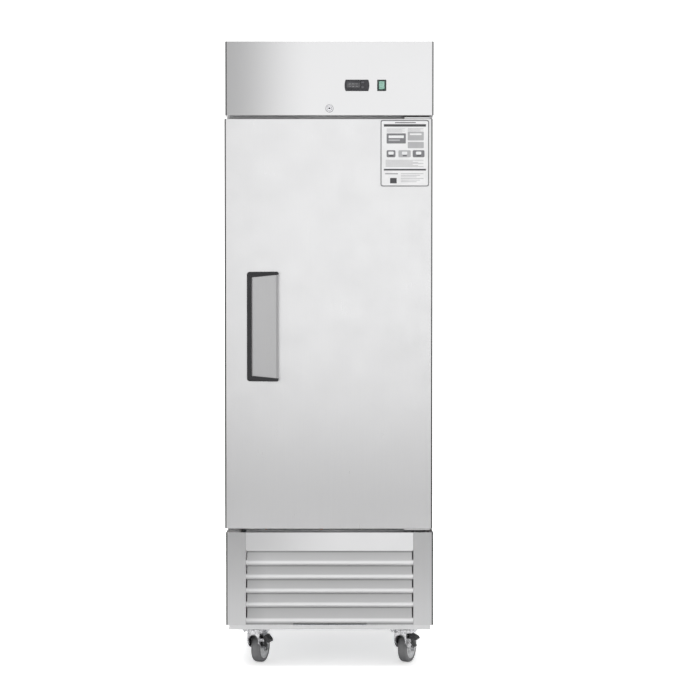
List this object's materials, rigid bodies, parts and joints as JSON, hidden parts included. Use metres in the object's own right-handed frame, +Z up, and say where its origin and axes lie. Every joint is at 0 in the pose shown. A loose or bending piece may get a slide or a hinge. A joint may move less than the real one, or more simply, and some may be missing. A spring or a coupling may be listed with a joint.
{
  "type": "reach in refrigerator",
  "caption": "Single-door upright stainless commercial refrigerator on locking casters, with header controls, side pull handle and louvred base.",
  "frame": {"origin": "on the floor, under the middle of the cabinet's overall width and depth", "axes": "+Z up, front with the door towards -Y, +X to the right seen from the front"},
  "size_m": [0.693, 0.8, 2.083],
  "materials": {
    "stainless": "satin",
    "galvanised": "matte",
    "foam": "matte",
    "inner_white": "satin",
    "door_inner": "satin",
    "black_plastic": "matte",
    "window": "gloss",
    "rocker_green": "gloss",
    "key_plastic": "matte",
    "lock_chrome": "polished",
    "compressor_black": "satin",
    "fins": "satin",
    "motor_grey": "satin",
    "copper": "satin",
    "lamp_cover": "satin",
    "shelf_coat": "satin",
    "clip_zinc": "satin",
    "gasket_grey": "matte",
    "label_film": "satin",
    "bush_nylon": "matte",
    "zinc": "satin",
    "wheel_hub": "matte",
    "wheel_tread": "matte"
  },
  "bodies": {
    "cabinet": {"side_panels": "stainless", "top_panel": "stainless", "back_panel": "galvanised", "foam_insulation": "foam", "interior_liner": "inner_white", "face_frame": "stainless", "base_pan": "galvanised", "base_rails": "galvanised", "lower_pillars": "stainless", "fascia_panel": "stainless", "louver_blades": "stainless", "rear_grille": "stainless", "compressor": "compressor_black", "condenser_coil": "fins", "condenser_shroud": "galvanised", "condenser_fan_motor": "motor_grey", "refrigerant_pipes": "copper", "power_inlet": "black_plastic", "evaporator_housing": "inner_white", "evaporator_coil": "fins", "evaporator_fan_motor": "motor_grey", "interior_lamp": "lamp_cover", "shelf_pilasters": "galvanised", "wire_shelves": "shelf_coat", "shelf_clips": "clip_zinc", "header_cover": "stainless", "controller_housing": "black_plastic", "controller_window": "window", "rocker_frame": "black_plastic", "lock_barrel": "lock_chrome", "hinge_brackets": "stainless", "caster_plates": "zinc"},
    "door": {"door_skin": "stainless", "door_foam": "foam", "door_liner": "door_inner", "door_gasket": "gasket_grey", "info_label": "label_film", "handle_frame": "black_plastic", "handle_plate": "stainless", "hinge_bushes": "bush_nylon"},
    "lock": {"lock_cylinder": "lock_chrome"},
    "switch_rocker": {"rocker": "rocker_green"},
    "up_button": {"button_up": "key_plastic"},
    "down_button": {"button_down": "key_plastic"},
    "condenser_fan": {"condenser_fan_blade": "black_plastic"},
    "evaporator_fan": {"evaporator_fan_blade": "black_plastic"},
    "caster_front_left": {"fork_front_left": "zinc"},
    "wheel_front_left": {"hub_front_left": "wheel_hub", "tyre_front_left": "wheel_tread"},
    "brake_front_left": {"brake_front_left": "black_plastic"},
    "caster_front_right": {"fork_front_right": "zinc"},
    "wheel_front_right": {"hub_front_right": "wheel_hub", "tyre_front_right": "wheel_tread"},
    "brake_front_right": {"brake_front_right": "black_plastic"},
    "caster_rear_left": {"fork_rear_left": "zinc"},
    "wheel_rear_left": {"hub_rear_left": "wheel_hub", "tyre_rear_left": "wheel_tread"},
    "caster_rear_right": {"fork_rear_right": "zinc"},
    "wheel_rear_right": {"hub_rear_right": "wheel_hub", "tyre_rear_right": "wheel_tread"}
  },
  "joints": [
    {"name": "door_hinge", "type": "hinge", "parent": "cabinet", "child": "door", "pos_m": [0.322, -0.33, 1.148], "axis": [0, 0, 1], "range_deg": [0, 110]},
    {"name": "lock_turn", "type": "hinge", "parent": "cabinet", "child": "lock", "pos_m": [0, -0.35, 1.862], "axis": [0, 1, 0], "range_deg": [0, 90]},
    {"name": "rocker_tilt", "type": "hinge", "parent": "cabinet", "child": "switch_rocker", "pos_m": [0.173, -0.361, 1.938], "axis": [1, 0, 0], "range_deg": [0, 16]},
    {"name": "button_up_press", "type": "slide", "parent": "cabinet", "child": "up_button", "axis": [0, 1, 0], "range_m": [0, 0.001], "stiffness_N_per_m": 150, "springref_m": -0.001},
    {"name": "button_down_press", "type": "slide", "parent": "cabinet", "child": "down_button", "axis": [0, 1, 0], "range_m": [0, 0.001], "stiffness_N_per_m": 150, "springref_m": -0.001},
    {"name": "condenser_fan_spin", "type": "hinge", "parent": "cabinet", "child": "condenser_fan", "pos_m": [0, -0.181, 0.29], "axis": [0, 1, 0], "continuous": true},
    {"name": "evaporator_fan_spin", "type": "hinge", "parent": "cabinet", "child": "evaporator_fan", "pos_m": [0, -0.165, 1.898], "axis": [0, 1, 0], "continuous": true},
    {"name": "swivel_front_left", "type": "hinge", "parent": "cabinet", "child": "caster_front_left", "pos_m": [-0.248, -0.29, 0.11], "axis": [0, 0, 1], "continuous": true},
    {"name": "spin_front_left", "type": "hinge", "parent": "caster_front_left", "child": "wheel_front_left", "pos_m": [-0.23661, -0.25691, 0.05], "axis": [0.9455, -0.3256, 0], "continuous": true},
    {"name": "brake_lever_front_left", "type": "hinge", "parent": "caster_front_left", "child": "brake_front_left", "pos_m": [-0.2191, -0.29361, 0.084], "axis": [0.3256, 0.9455, 0], "range_deg": [-27, 0]},
    {"name": "swivel_front_right", "type": "hinge", "parent": "cabinet", "child": "caster_front_right", "pos_m": [0.248, -0.29, 0.11], "axis": [0, 0, 1], "continuous": true},
    {"name": "spin_front_right", "type": "hinge", "parent": "caster_front_right", "child": "wheel_front_right", "pos_m": [0.26224, -0.25803, 0.05], "axis": [0.9135, -0.4067, 0], "continuous": true},
    {"name": "brake_lever_front_right", "type": "hinge", "parent": "caster_front_right", "child": "brake_front_right", "pos_m": [0.27648, -0.29611, 0.084], "axis": [0.4067, 0.9135, 0], "range_deg": [0, 27]},
    {"name": "swivel_rear_left", "type": "hinge", "parent": "cabinet", "child": "caster_rear_left", "pos_m": [-0.248, 0.305, 0.11], "axis": [0, 0, 1], "continuous": true},
    {"name": "spin_rear_left", "type": "hinge", "parent": "caster_rear_left", "child": "wheel_rear_left", "pos_m": [-0.25647, 0.33896, 0.05], "axis": [0.9703, 0.2419, 0], "continuous": true},
    {"name": "swivel_rear_right", "type": "hinge", "parent": "cabinet", "child": "caster_rear_right", "pos_m": [0.248, 0.305, 0.11], "axis": [0, 0, 1], "continuous": true},
    {"name": "spin_rear_right", "type": "hinge", "parent": "caster_rear_right", "child": "wheel_rear_right", "pos_m": [0.25468, 0.33936, 0.05], "axis": [0.9816, -0.1908, 0], "continuous": true}
  ]
}
